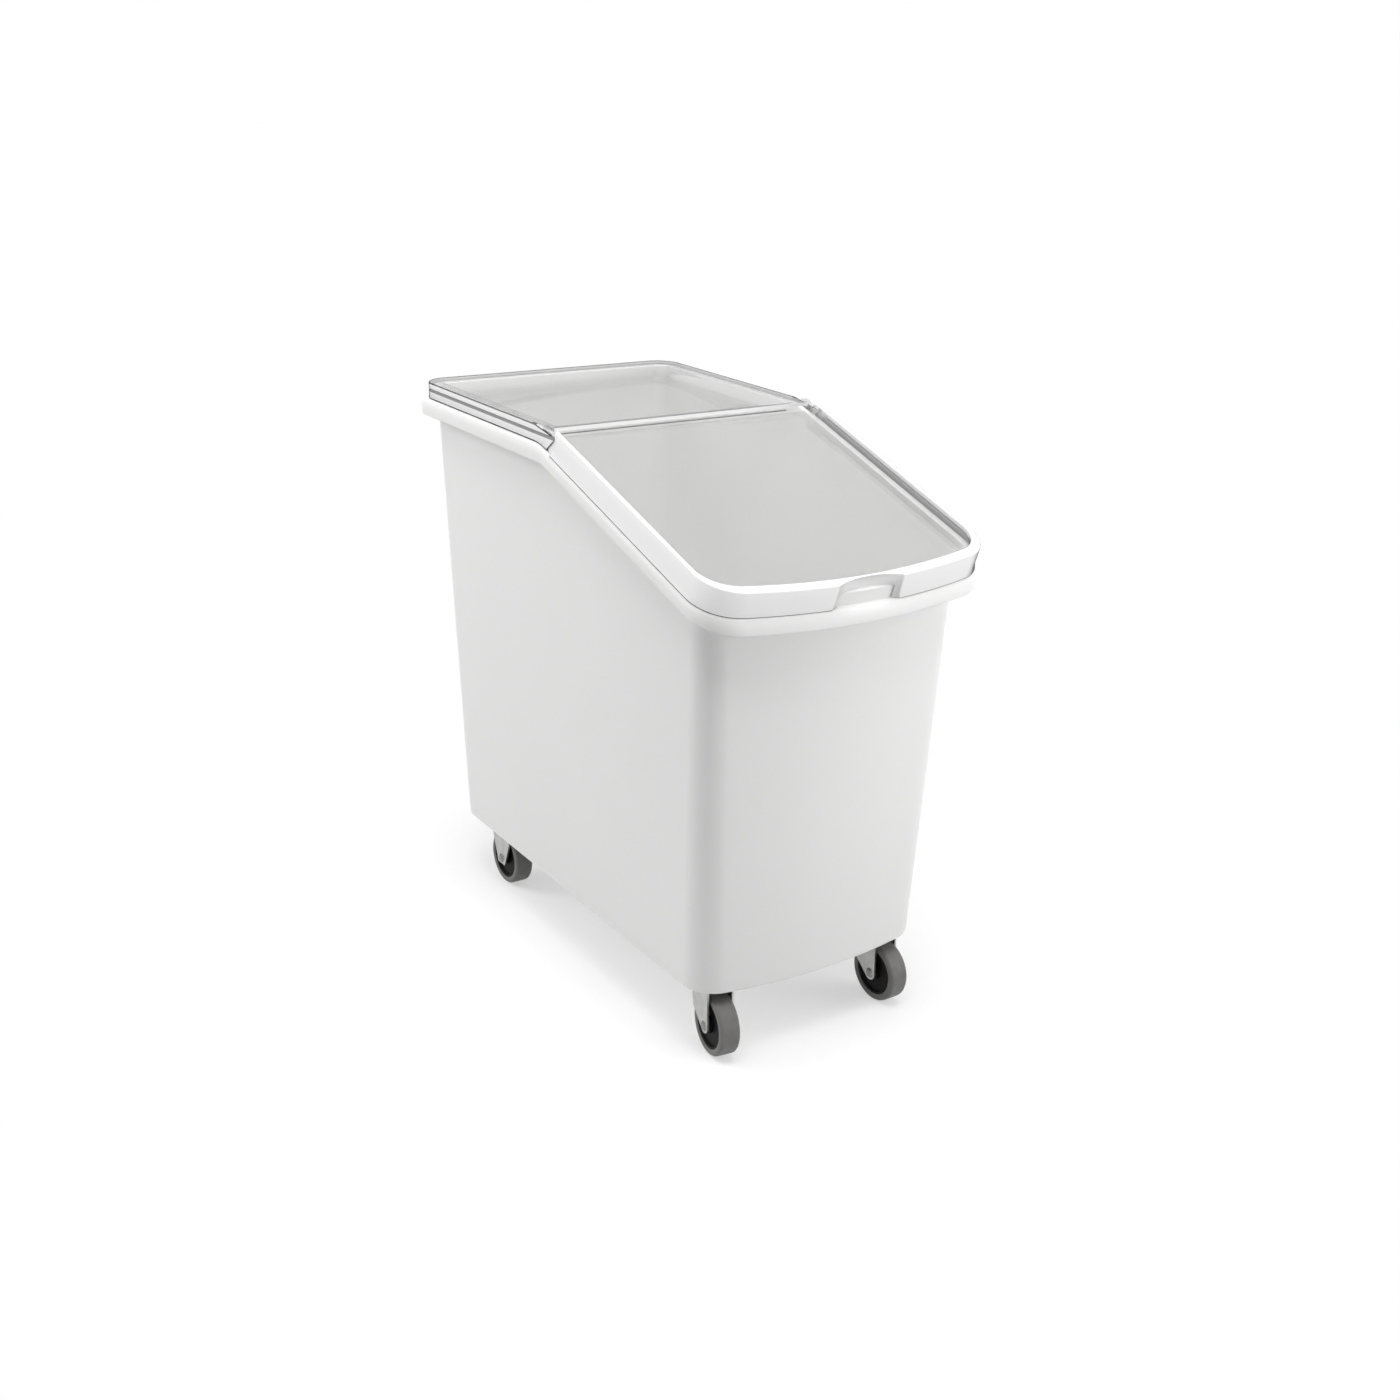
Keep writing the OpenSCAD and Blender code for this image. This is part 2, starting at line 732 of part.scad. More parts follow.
module race_cup(f) {
  color("silver")
    put_front(f)
      translate([0, 0, king_low])
        difference() {
          cylinder(r = cup_r, h = cup_t);
          translate([0, 0, -over])
            cylinder(r = king_r + pin_fit, h = cup_t + 2 * over);
        }
}

// Tangent point on a circle, seen from an outside point
function touch(p, c, r, way) =
  let (d = p - c, l = norm(d), a = atan2(d[1], d[0]) + way * acos(r / l))
  c + r * [cos(a), sin(a)];

module swivel_leg() {
  tip = [-trail, axle_z];
  top_back = [leg_back, fork_z];
  knee = [-knee_in, knee_z];
  top_front = [-leg_front, fork_z];
  polygon([top_back, knee, touch(knee, tip, tip_r, -1), tip, touch(top_front, tip, tip_r, 1), top_front]);
  translate(tip)
    circle(r = tip_r);
}

module axle_cut(r) {
  translate([-leg_x - fork_t - over, 0, 0])
    rotate([0, 90, 0])
      cylinder(r = r, h = leg_gap + 2 * fork_t + 2 * over);
}

module swivel_fork(f) {
  color("silver")
    put_front(f)
      difference() {
        union() {
          translate([0, 0, fork_z - fork_t])
            cylinder(r = crown_r, h = fork_t);
          translate([-leg_x - fork_t, -leg_front, fork_z - fork_t])
            cube([leg_gap + 2 * fork_t, leg_front + leg_back, fork_t]);
          along_x(-leg_x - fork_t, -leg_x)
            swivel_leg();
          along_x(leg_x, leg_x + fork_t)
            swivel_leg();
        }
        translate([0, 0, fork_z - fork_t - over])
          cylinder(r = king_r + king_gap, h = fork_t + 2 * over);
        translate([0, -trail, axle_z])
          axle_cut(rivet_r + pin_fit);
      }
}

module rigid_leg() {
  polygon([
    [-rigid_w / 2, mount_z - plate_t / 2], [-rigid_w / 2, rigid_knee],
    [-rigid_end / 2, axle_z - rigid_low], [rigid_end / 2, axle_z - rigid_low],
    [rigid_w / 2, rigid_knee], [rigid_w / 2, mount_z - plate_t / 2]]);
}

module rigid_fork(r) {
  color("silver")
    put_rear(r)
      difference() {
        union() {
          plate_blank();
          along_x(-leg_x - fork_t, -leg_x)
            rigid_leg();
          along_x(leg_x, leg_x + fork_t)
            rigid_leg();
        }
        plate_holes();
        for (i = [-1, 1])
          for (j = [-1, 1])
            translate([i * screw_dx / 2, j * screw_dy / 2, mount_z - plate_t - head_h - over])
              cylinder(r = head_r + run_fit, h = head_h + over);
        translate([0, 0, axle_z])
          axle_cut(rivet_r + pin_fit);
      }
}

// Axle parts are drawn at the axle, along x
module axle_sleeve() {
  color("gainsboro")
    translate([-leg_x, 0, axle_z])
      rotate([0, 90, 0])
        difference() {
          cylinder(r = sleeve_r, h = leg_gap);
          translate([0, 0, -over])
            cylinder(r = rivet_r + pin_fit, h = leg_gap + 2 * over);
        }
}

module axle_rivet() {
  color("dimgray")
    translate([-leg_x - fork_t, 0, axle_z])
      rotate([0, 90, 0]) {
        translate([0, 0, -rivet_head_h])
          cylinder(r1 = rivet_head_r - rivet_head_h, r2 = rivet_head_r, h = rivet_head_h);
        cylinder(r = rivet_r, h = leg_gap + 2 * fork_t);
        translate([0, 0, leg_gap + 2 * fork_t])
          cylinder(r1 = rivet_head_r, r2 = rivet_head_r - rivet_head_h, h = rivet_head_h);
      }
}

// Ring turned about the axle from points of radius and place along the axle
module turned(points) {
  translate([0, 0, axle_z])
    rotate([0, 90, 0])
      rotate_extrude()
        polygon(points);
}

module wheel_core() {
  color("black")
    turned([
      [sleeve_r + run_fit, -hub_w / 2], [hub_r, -hub_w / 2], [hub_r, -core_w / 2 + core_dish],
      [core_r - core_ring, -core_w / 2 + core_dish], [core_r - core_ring + core_dish / 2, -core_w / 2],
      [core_r, -core_w / 2], [core_r, core_w / 2],
      [core_r - core_ring + core_dish / 2, core_w / 2], [core_r - core_ring, core_w / 2 - core_dish],
      [hub_r, core_w / 2 - core_dish], [hub_r, hub_w / 2], [sleeve_r + run_fit, hub_w / 2]]);
}

side_r = (core_r + wheel_d / 2 - tread_r) / 2;

module tyre() {
  color("gray")
    turned(concat(
      [[core_r, -core_w / 2], [side_r, -tread_w / 2]],
      [for (a = steps()) [wheel_d / 2 - tread_r * (1 - sin(a)), -tread_w / 2 + tread_r * (1 - cos(a))]],
      [for (a = steps()) [wheel_d / 2 - tread_r * (1 - cos(a)), tread_w / 2 - tread_r * (1 - sin(a))]],
      [[side_r, tread_w / 2], [core_r, core_w / 2]]));
}

module put_axle(f) {
  put_front(f)
    translate([0, -trail, 0])
      children();
}

tub();
rear_lid();
front_lid();
for (f = fronts) {
  swivel_plate(f);
  plate_screws(f[1], -swivel_y);
  kingpin(f);
  ball_ring(f, ball_r, race_r, ball_n, fork_z + ball_r);
  ball_ring(f, low_ball_r, low_race_r, low_ball_n, cup_z + low_ball_r);
  race_cup(f);
  swivel_fork(f);
  put_axle(f) axle_sleeve();
  put_axle(f) axle_rivet();
  put_axle(f) wheel_core();
  put_axle(f) tyre();
}
for (r = rears) {
  rigid_fork(r);
  plate_screws(r[1], rigid_y);
  put_rear(r) axle_sleeve();
  put_rear(r) axle_rivet();
  put_rear(r) wheel_core();
  put_rear(r) tyre();
}
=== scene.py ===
import math

import bmesh
import bpy
from mathutils import Matrix, Vector


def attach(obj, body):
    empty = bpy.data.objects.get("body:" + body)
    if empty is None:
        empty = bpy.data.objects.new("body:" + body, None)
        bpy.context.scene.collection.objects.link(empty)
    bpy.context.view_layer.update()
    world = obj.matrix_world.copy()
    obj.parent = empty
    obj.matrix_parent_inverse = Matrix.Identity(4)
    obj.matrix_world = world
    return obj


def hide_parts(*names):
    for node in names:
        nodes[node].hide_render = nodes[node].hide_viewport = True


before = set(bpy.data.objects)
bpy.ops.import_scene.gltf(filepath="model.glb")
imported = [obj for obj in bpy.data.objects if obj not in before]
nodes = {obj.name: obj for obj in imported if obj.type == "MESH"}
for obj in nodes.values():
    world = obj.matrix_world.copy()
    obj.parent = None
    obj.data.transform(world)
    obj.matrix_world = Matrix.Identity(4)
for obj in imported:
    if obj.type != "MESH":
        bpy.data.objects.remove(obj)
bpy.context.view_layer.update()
scene = bpy.context.scene
scene.view_settings.view_transform = "Standard"
scene.cycles.transparent_max_bounces = 32
MM = 0.001

# Sizes in millimetres, the same as the solids
BASE_HW, BASE_FRONT, BASE_IN_BACK, BASE_Z = 164.0, 322.0, 31.5, 89.0
BASE_R, BASE_BOW = 42.0, 20.0
WALL_T, FOOT_R, FOOT_T = 4.5, 3.0, 5.0
UNDER_Z, FLOOR_T, FLOOR_R = 108.0, 5.0, 14.0
LEDGE_Z, SLOPE, BEND_Y, BEND_R = 678.5, math.radians(17.25), 37.0, 90.0
RIM_OVER, RIM_BACK_OVER, LIP_T, LIP_H, LIP_BACK_H = 4.5, 17.25, 4.4, 18.7, 22.0
RIM_R, RIM_FALL, FLANGE_T = 4.4, 13.0, 6.0
UP_H, UP_R, UP_IN, UP_T = 17.0, 1.5, 5.0, 9.0
WALL_IN, WALL_IN_FRONT, WALL_IN_BACK = 13.0, 25.0, 11.0
LID_HW, LID_RUN = 192.5, 388.8
LID_FR, LID_BR, LID_BOW, LID_T = 50.0, 33.0, 24.0, 3.0
REAR_H, RIDGE_Y, RIDGE_W = 21.5, 2.0, 7.0
FRONT_H, PANEL_H, SKIRT_GAP, LID_R = 31.0, 17.4, 0.5, 1.5
NOTCH_W, NOTCH_D = 96.0, 10.0
PIVOT_Y, PIVOT_Z, STUB_R, EAR_R, EAR_T, EAR_GAP = 11.0, 690.5, 4.0, 12.5, 4.0, 0.5
POCKET_R, SLOT_Y, PANEL_START, ARM_END = 15.6, 36.0, 10.0, 43.0
SPLIT_LOW, SPLIT_HIGH, SPLIT_GAP = (6.0, 676.0), (-14.0, 691.0), 1.0
CHEEK_REACH, CHEEK_FALL, LAP_GAP, CUT_BITE = 16.0, 44.0, 0.4, 0.2
SWIVEL_X, SWIVEL_Y, RIGID_X, RIGID_Y = 121.5, 254.0, 126.5, 232.0
MOUNT_Z, SCREW_DX, SCREW_DY, SCREW_R, BOSS_R, RIB_T = 100.0, 38.0, 46.0, 3.05, 7.0, 3.0

ARC = BEND_R * SLOPE
LID_FRONT_S = ARC + LID_RUN
NOTCH_BOW = LID_BOW * (NOTCH_W / (2 * LID_HW)) ** 2
FRONT_Y = BEND_Y - (BEND_R + FRONT_H) * math.sin(SLOPE) - (LID_RUN - NOTCH_BOW) * math.cos(SLOPE)
LID_BACK = -FRONT_Y - RIM_BACK_OVER
LID_BACK_S = BEND_Y - LID_BACK
BASE_BACK = LID_BACK - BASE_IN_BACK
FLOOR_Z = UNDER_Z + FLOOR_T
REAR_TOP = LEDGE_Z + REAR_H
SKIRT_X = LID_HW - LID_T
EAR_X = SKIRT_X - EAR_GAP - EAR_T
SLOT_X = EAR_X - EAR_GAP
WALL_MID = SKIRT_X + LID_T / 2
CUT_X = SKIRT_X + CUT_BITE
SPLIT_LEN = math.dist(SPLIT_LOW, SPLIT_HIGH)
LAP_R = abs((SPLIT_HIGH[0] - SPLIT_LOW[0]) * (PIVOT_Z - SPLIT_LOW[1])
            - (SPLIT_HIGH[1] - SPLIT_LOW[1]) * (PIVOT_Y - SPLIT_LOW[0])) / SPLIT_LEN
SWEEP_R = math.dist(SPLIT_HIGH, (PIVOT_Y, PIVOT_Z)) + SPLIT_GAP
LAP_T = (LID_T - LAP_GAP) / 2
PANEL_TOP = PANEL_H + LID_T
RIDGE_IN = RIDGE_Y + RIDGE_W
NOTCH_R = (NOTCH_W * NOTCH_W / 4 + NOTCH_D * NOTCH_D) / (2 * NOTCH_D)
# The underside of the rear lid stays just clear of the upstand that carries it
RIDGE_T = 4.3
BOW_N, CORNER_N, BEND_N, SIDE_N, BACK_N, ACROSS_N, ROUND_N = 16, 22, 12, 8, 8, 12, 6
# Cutters pass the faces they cut by this much
OVERCUT = 1.0


# Curves and outlines
def sloped(x, s, n):
    """Point on the slope, s along the side from the bend's back end and n square to the slope."""
    c, d = math.cos(SLOPE), math.sin(SLOPE)
    return (x, BEND_Y - (BEND_R + n) * d - (s - ARC) * c,
            LEDGE_Z - BEND_R + (BEND_R + n) * c - (s - ARC) * d)


def bent(x, s, n):
    """Point on the line that runs flat at the back, round the bend and down the slope."""
    if s <= 0:
        return (x, BEND_Y - s, LEDGE_Z + n)
    if s <= ARC:
        q = s / BEND_R
        return (x, BEND_Y - (BEND_R + n) * math.sin(q),
                LEDGE_Z - BEND_R + (BEND_R + n) * math.cos(q))
    return sloped(x, s, n)


def yz(run, n):
    """Place in y and z on the slope, run from the front end of the bend."""
    return sloped(0, ARC + run, n)[1:]


def ledge_at(y):
    """Height of the ledge under the lids."""
    if y >= BEND_Y:
        return LEDGE_Z
    if y >= BEND_Y - BEND_R * math.sin(SLOPE):
        return LEDGE_Z - BEND_R + math.sqrt(BEND_R ** 2 - (BEND_Y - y) ** 2)
    return yz(0, 0)[1] - (yz(0, 0)[0] - y) * math.tan(SLOPE)


def spread(a, b, n):
    return [a + (b - a) * i / n for i in range(1, n)]


def arc_steps(n=ROUND_N):
    return [math.pi / 2 * i / n for i in range(n + 1)]


def front_half(hw, front, r, bow):
    """Right half of a bowed front with its rounded corner, from the middle outwards."""
    def lean(x):
        return math.atan(2 * bow * x / (hw * hw))
    a = lean(hw - r * (1 - math.sin(lean(hw - r))))
    xe = hw - r * (1 - math.sin(a))
    ct = front - bow * (xe / hw) ** 2 - r * math.cos(a)
    pts = [(xe * i / BOW_N, front - bow * (xe * i / BOW_N / hw) ** 2) for i in range(BOW_N)]
    for i in range(CORNER_N + 1):
        b = a + (math.pi / 2 - a) * i / CORNER_N
        pts.append((hw - r + r * math.sin(b), ct + r * math.cos(b)))
    return pts


def back_half(hw, back, r):
    pts = [(hw - r + r * math.cos(b), back + r - r * math.sin(b)) for b in arc_steps(CORNER_N)]
    return pts + [((hw - r) * (1 - i / BACK_N), back) for i in range(1, BACK_N + 1)]


def both(half):
    """Whole outline from its right half."""
    return half + [(-x, t) for x, t in reversed(half[1:-1])]


def joined(front, hw, first, last, back):
    """Outline from its front and back halves, with close points along the bend of the side."""
    bend = [first + (last - first) * i / BEND_N for i in range(BEND_N + 1)]
    side = spread(front[-1][1], first, SIDE_N) + bend + spread(last, back[0][1], SIDE_N)
    return both(front + [(hw, t) for t in side] + back)


def mouth(i_side, i_front, i_back):
    hw = LID_HW - i_side
    return joined(front_half(hw, LID_FRONT_S - i_front, LID_FR - i_side, LID_BOW), hw, ARC, 0.0,
                  back_half(hw, LID_BACK_S + i_back, LID_BR - i_side))


def foot_ring(i, z):
    hw = BASE_HW - i
    pts = joined(front_half(hw, BASE_FRONT - i, BASE_R - i, BASE_BOW), hw, -yz(0, 0)[0], -BEND_Y,
                 back_half(hw, -BASE_BACK + i, BASE_R - i))
    return [(x, -t, z) for x, t in pts]


def ring(i, n):
    return [bent(x, s, n) for x, s in mouth(i, i, i)]


def wall_ring(i, n):
    return [bent(x, s, n) for x, s in mouth(WALL_IN + i, WALL_IN_FRONT + i, WALL_IN_BACK + i)]


def rim_line(i):
    return [bent(x, s, 0) for x, s in mouth(i - RIM_OVER, i - RIM_OVER, i - RIM_BACK_OVER)]


def rim_ring(i, drop):
    return [(x, y, z - drop) for x, y, z in rim_line(i)]


def lip_ring(i, up):
    return [(x, y, min(z - LIP_H, LEDGE_Z - LIP_BACK_H) + up) for x, y, z in rim_line(i)]


# Mesh helpers
def new_object(name, bm):
    mesh = bpy.data.meshes.new(name)
    bmesh.ops.recalc_face_normals(bm, faces=bm.faces)
    bm.to_mesh(mesh)
    bm.free()
    obj = bpy.data.objects.new(name, mesh)
    scene.collection.objects.link(obj)
    return obj


def skin(name, loops, faces=None, materials=()):
    """Closed skin through loops; faces gives each band's material index."""
    bm = bmesh.new()
    rows = [[bm.verts.new(Vector(p) * MM) for p in l] for l in loops]
    n = len(rows[0])
    bm.faces.new(list(reversed(rows[0])))
    for i in range(len(rows) - 1):
        for j in range(n):
            k = (j + 1) % n
            f = bm.faces.new((rows[i][j], rows[i][k], rows[i + 1][k], rows[i + 1][j]))
            f.material_index = faces[i] if faces else 0
    bm.faces.new(rows[-1])
    obj = new_object(name, bm)
    for mat in materials:
        obj.data.materials.append(mat)
    return obj


def prism(name, points, x0, x1):
    """Shape given in y and z, between two places along x."""
    bm = bmesh.new()
    a = [bm.verts.new(Vector((x0, y, z)) * MM) for y, z in points]
    b = [bm.verts.new(Vector((x1, y, z)) * MM) for y, z in points]
    bm.faces.new(a)
    bm.faces.new(list(reversed(b)))
    for i in range(len(a)):
        k = (i + 1) % len(a)
        bm.faces.new((a[i], b[i], b[k], a[k]))
    return new_object(name, bm)


def lathe(name, profile, seg, matrix):
    """Closed ring from points of radius and height, turned about z and then placed."""
    bm = bmesh.new()
    rows = []
    for i in range(seg):
        a = 2 * math.pi * i / seg
        rows.append([bm.verts.new(matrix @ Vector((r * math.cos(a), r * math.sin(a), h)) * MM)
                     for r, h in profile])
    for i in range(seg):
        p, q = rows[i], rows[(i + 1) % seg]
        for j in range(len(profile)):
            k = (j + 1) % len(profile)
            bm.faces.new((p[j], q[j], q[k], p[k]))
    return new_object(name, bm)


def rod(name, r, x0, x1, seg=64):
    """Round bar along the hinge line between two places along x."""
    bm = bmesh.new()
    ends = []
    for x in (x0, x1):
        ends.append([
            bm.verts.new(Vector((x, PIVOT_Y + r * math.cos(a), PIVOT_Z + r * math.sin(a))) * MM)
            for a in (2 * math.pi * i / seg for i in range(seg))])
    bm.faces.new(ends[0])
    bm.faces.new(list(reversed(ends[1])))
    for i in range(seg):
        k = (i + 1) % seg
        bm.faces.new((ends[0][i], ends[1][i], ends[1][k], ends[0][k]))
    return new_object(name, bm)


def combine(obj, tools, operation, face=0):
    """Boolean with each tool in turn, whose faces get a material index; the tools are removed."""
    for tool in tools:
        if face:
            for mat in obj.data.materials:
                tool.data.materials.append(mat)
            tool.data.polygons.foreach_set("material_index", [face] * len(tool.data.polygons))
        mod = obj.modifiers.new("cut", "BOOLEAN")
        mod.operation, mod.object, mod.solver = operation, tool, "EXACT"
        bpy.context.view_layer.update()
        graph = bpy.context.evaluated_depsgraph_get()
        done = bpy.data.meshes.new_from_object(obj.evaluated_get(graph))
        obj.modifiers.clear()
        old, obj.data = obj.data, done
        bpy.data.meshes.remove(old)
        spent = tool.data
        bpy.data.objects.remove(tool)
        bpy.data.meshes.remove(spent)
    return obj


def mirrored(make):
    return [make(1), make(-1)]


def smooth(obj, angle, bevel=0.0, segments=2):
    obj.data.polygons.foreach_set("use_smooth", [True] * len(obj.data.polygons))
    obj.data.set_sharp_from_angle(angle=math.radians(angle))
    if bevel:
        mod = obj.modifiers.new("edges", "BEVEL")
        mod.width, mod.segments, mod.limit_method = bevel * MM, segments, "ANGLE"
        mod.angle_limit = math.radians(angle)
        mod.harden_normals = True


# Materials
def material(name, colour, roughness, metallic=0.0):
    mat = bpy.data.materials.new(name)
    mat.use_nodes = True
    tree = mat.node_tree
    shader = tree.nodes["Principled BSDF"]
    shader.inputs["Base Color"].default_value = (*colour, 1)
    shader.inputs["Roughness"].default_value = roughness
    shader.inputs["Metallic"].default_value = metallic
    return mat, tree, shader


def noise(tree, scale, detail=3.0, stretch=(1, 1, 1)):
    place = tree.nodes.new("ShaderNodeTexCoord")
    size = tree.nodes.new("ShaderNodeMapping")
    size.inputs["Scale"].default_value = stretch
    tex = tree.nodes.new("ShaderNodeTexNoise")
    tex.inputs["Scale"].default_value = scale
    tex.inputs["Detail"].default_value = detail
    tree.links.new(place.outputs["Object"], size.inputs["Vector"])
    tree.links.new(size.outputs["Vector"], tex.inputs["Vector"])
    return tex.outputs["Fac"]


def ramp(tree, fac, stops):
    node = tree.nodes.new("ShaderNodeValToRGB")
    el = node.color_ramp.elements
    el[0].position, el[0].color = stops[0][0], (*stops[0][1], 1)
    el[1].position, el[1].color = stops[-1][0], (*stops[-1][1], 1)
    for pos, colour in stops[1:-1]:
        e = el.new(pos)
        e.color = (*colour, 1)
    tree.links.new(fac, node.inputs["Fac"])
    return node.outputs["Color"]


def span(tree, fac, lo, hi):
    node = tree.nodes.new("ShaderNodeMapRange")
    node.inputs["To Min"].default_value = lo
    node.inputs["To Max"].default_value = hi
    tree.links.new(fac, node.inputs["Value"])
    return node.outputs["Result"]


def bump(tree, shader, fac, strength, distance):
    node = tree.nodes.new("ShaderNodeBump")
    node.inputs["Strength"].default_value = strength
    node.inputs["Distance"].default_value = distance
    tree.links.new(fac, node.inputs["Height"])
    tree.links.new(node.outputs["Normal"], shader.inputs["Normal"])


def white_plastic():
    mat, tree, shader = material("white_plastic", (0.86, 0.86, 0.855), 0.4)
    tint = ramp(tree, noise(tree, 3.0), [(0.3, (0.85, 0.85, 0.845)), (0.7, (0.875, 0.875, 0.87))])
    tree.links.new(tint, shader.inputs["Base Color"])
    tree.links.new(span(tree, noise(tree, 24.0), 0.36, 0.46), shader.inputs["Roughness"])
    bump(tree, shader, noise(tree, 900.0, 2.0), 0.05, 0.0002)
    return mat


def clear_plastic(name, stops, gloss, roughness, painted_haze=0.0):
    """Thin clear sheet: what is behind shows through, darker towards a grazing view, under a gloss.

    The milk argument is the share of a white haze painted in as reflection and light, which fades with
    the gloss towards a grazing view.
    """
    mat = bpy.data.materials.new(name)
    mat.use_nodes = True
    tree = mat.node_tree
    tree.nodes.clear()
    facing = tree.nodes.new("ShaderNodeLayerWeight")
    facing.inputs["Blend"].default_value = 0.5

    def by_view(values):
        return ramp(tree, facing.outputs["Facing"], [(at, (v, v, v)) for at, v in values])

    def mixed(share, first, second):
        node = tree.nodes.new("ShaderNodeMixShader")
        for socket, value in zip(node.inputs, (share, first.outputs[0], second.outputs[0])):
            tree.links.new(value, socket)
        return node

    body = tree.nodes.new("ShaderNodeBsdfTransparent")
    tree.links.new(by_view(stops), body.inputs["Color"])
    shine = tree.nodes.new("ShaderNodeBsdfGlossy")
    shine.inputs["Color"].default_value = (0.95, 0.95, 0.95, 1)
    rough = span(tree, noise(tree, 60.0), roughness * 0.8, roughness * 1.3)
    tree.links.new(rough, shine.inputs["Roughness"])
    if painted_haze:
        haze = tree.nodes.new("ShaderNodeBsdfDiffuse")
        haze.inputs["Color"].default_value = (0.92, 0.92, 0.92, 1)
        body = mixed(by_view([(0.55, painted_haze), (0.85, painted_haze * 0.1)]), body, haze)
        share = by_view([(0.55, gloss), (0.85, gloss * 0.15)])
    else:
        edge = tree.nodes.new("ShaderNodeFresnel")
        edge.inputs["IOR"].default_value = 1.5
        share = span(tree, edge.outputs["Fac"], 0.0, gloss)
    out = tree.nodes.new("ShaderNodeOutputMaterial")
    tree.links.new(mixed(share, body, shine).outputs[0], out.inputs["Surface"])
    return mat


def plated_steel(name, colour, roughness):
    mat, tree, shader = material(name, colour, roughness, 1.0)
    dark = tuple(c * 0.86 for c in colour)
    tint = ramp(tree, noise(tree, 90.0, 5.0), [(0.35, dark), (0.65, colour)])
    tree.links.new(tint, shader.inputs["Base Color"])
    tree.links.new(span(tree, noise(tree, 220.0, 4.0, (1, 1, 0.15)), roughness * 0.8, roughness * 1.25),
                   shader.inputs["Roughness"])
    bump(tree, shader, noise(tree, 700.0, 3.0, (1, 1, 0.1)), 0.06, 0.0001)
    return mat


def wheel_black():
    mat, tree, shader = material("wheel_black", (0.004, 0.004, 0.004), 0.55)
    shader.inputs["Specular IOR Level"].default_value = 0.12
    tint = ramp(tree, noise(tree, 120.0), [(0.3, (0.003, 0.003, 0.003)), (0.7, (0.007, 0.007, 0.007))])
    tree.links.new(tint, shader.inputs["Base Color"])
    bump(tree, shader, noise(tree, 1500.0), 0.1, 0.0001)
    return mat


def grey_tyre():
    mat, tree, shader = material("grey_tyre", (0.16, 0.158, 0.154), 0.5)
    tint = ramp(tree, noise(tree, 80.0, 4.0),
                [(0.3, (0.145, 0.143, 0.14)), (0.7, (0.18, 0.177, 0.172))])
    tree.links.new(tint, shader.inputs["Base Color"])
    tree.links.new(span(tree, noise(tree, 150.0), 0.42, 0.6), shader.inputs["Roughness"])
    bump(tree, shader, noise(tree, 1200.0), 0.12, 0.0002)
    return mat


WHITE = white_plastic()
CLEAR = clear_plastic("clear_panel", [(0.0, 0.96), (0.6, 0.93), (0.85, 0.9), (1.0, 0.5)], 0.3, 0.04)
# Painted shade: dark lines on the top roundings and the feet of the skirts, a copy of the one clear
# plastic; it also darkens the split's cut faces as a dark joint
EDGE_SHADE_AND_JOINT = clear_plastic("clear_edge_shade_and_joint", [(0.0, 0.32), (1.0, 0.12)], 0.12, 0.08)
# Painted light and shade: a white haze facing the view that turns darker towards a grazing view, on the
# front lid's rail and notch
BAND_PAINTED_HAZE_AND_SHADE = clear_plastic("clear_band_haze_and_shade", [(0.0, 0.85), (0.45, 0.75), (0.7, 0.5), (1.0, 0.15)],
                     0.1, 0.05, 0.6)
# Painted reflection and light: a white haze on the outer walls and their cut faces, for the white
# surroundings seen in them
WALL_PAINTED_REFLECTION = clear_plastic("clear_wall_painted_reflection", [(0.0, 0.95), (0.6, 0.8), (0.8, 0.4), (1.0, 0.12)],
                     0.35, 0.06, 0.88)
# Painted shade: a grey line in the rear lid's groove and at the inner foot of the front lid's rail
LINE_PAINTED_SHADE = clear_plastic("clear_line_painted_shade", [(0.0, 0.4), (1.0, 0.15)], 0.1, 0.06, 0.22)
LID_MATERIALS = (CLEAR, EDGE_SHADE_AND_JOINT, BAND_PAINTED_HAZE_AND_SHADE, WALL_PAINTED_REFLECTION, LINE_PAINTED_SHADE)
PANEL_FACE, EDGE_SHADE_AND_JOINT_FACE, BAND_HAZE_AND_SHADE_FACE, WALL_REFLECTION_FACE, LINE_SHADE_FACE = range(5)
ZINC = plated_steel("zinc_plate", (0.5, 0.5, 0.49), 0.36)
BRIGHT = plated_steel("bright_steel", (0.6, 0.6, 0.59), 0.25)
DARK = plated_steel("dark_steel", (0.28, 0.28, 0.275), 0.42)
BLACK = wheel_black()
TYRE = grey_tyre()


# Tub
def tub_loops():
    loops = [foot_ring(FOOT_T + FOOT_R, UNDER_Z), foot_ring(FOOT_T, BASE_Z)]
    loops += [foot_ring(FOOT_R * (1 - math.sin(a)), BASE_Z + FOOT_R * (1 - math.cos(a)))
              for a in arc_steps()]
    loops += [wall_ring(0, -FLANGE_T), rim_ring(LIP_T, FLANGE_T)]
    for i in range(2 * ROUND_N + 1):
        a = math.pi / 2 * i / ROUND_N
        loops.append(lip_ring(LIP_T / 2 * (1 + math.cos(a)), LIP_T / 2 * (1 - math.sin(a))))
    loops += [rim_ring(RIM_R * (1 - math.cos(a)), RIM_FALL * (1 - math.sin(a))) for a in arc_steps(10)]
    loops += [ring(UP_IN, 0)]
    loops += [ring(UP_IN + UP_R * (1 - math.cos(a)), UP_H - UP_R * (1 - math.sin(a)))
              for a in arc_steps(4)]
    loops += [ring(UP_IN + UP_T - UP_R + UP_R * math.sin(a), UP_H - UP_R * (1 - math.cos(a)))
              for a in arc_steps(4)]
    loops += [wall_ring(WALL_T, -FLANGE_T)]
    loops += [foot_ring(WALL_T + FLOOR_R * (1 - math.cos(a)), FLOOR_Z + FLOOR_R * (1 - math.sin(a)))
              for a in arc_steps()]
    return loops


tub = skin("tub_shell", tub_loops())
combine(tub, mirrored(lambda m: rod("pocket", POCKET_R, m * SLOT_X, m * SKIRT_X)), "DIFFERENCE")
tub.data.materials.append(WHITE)
smooth(tub, 32)
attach(tub, "bin")
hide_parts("tub")


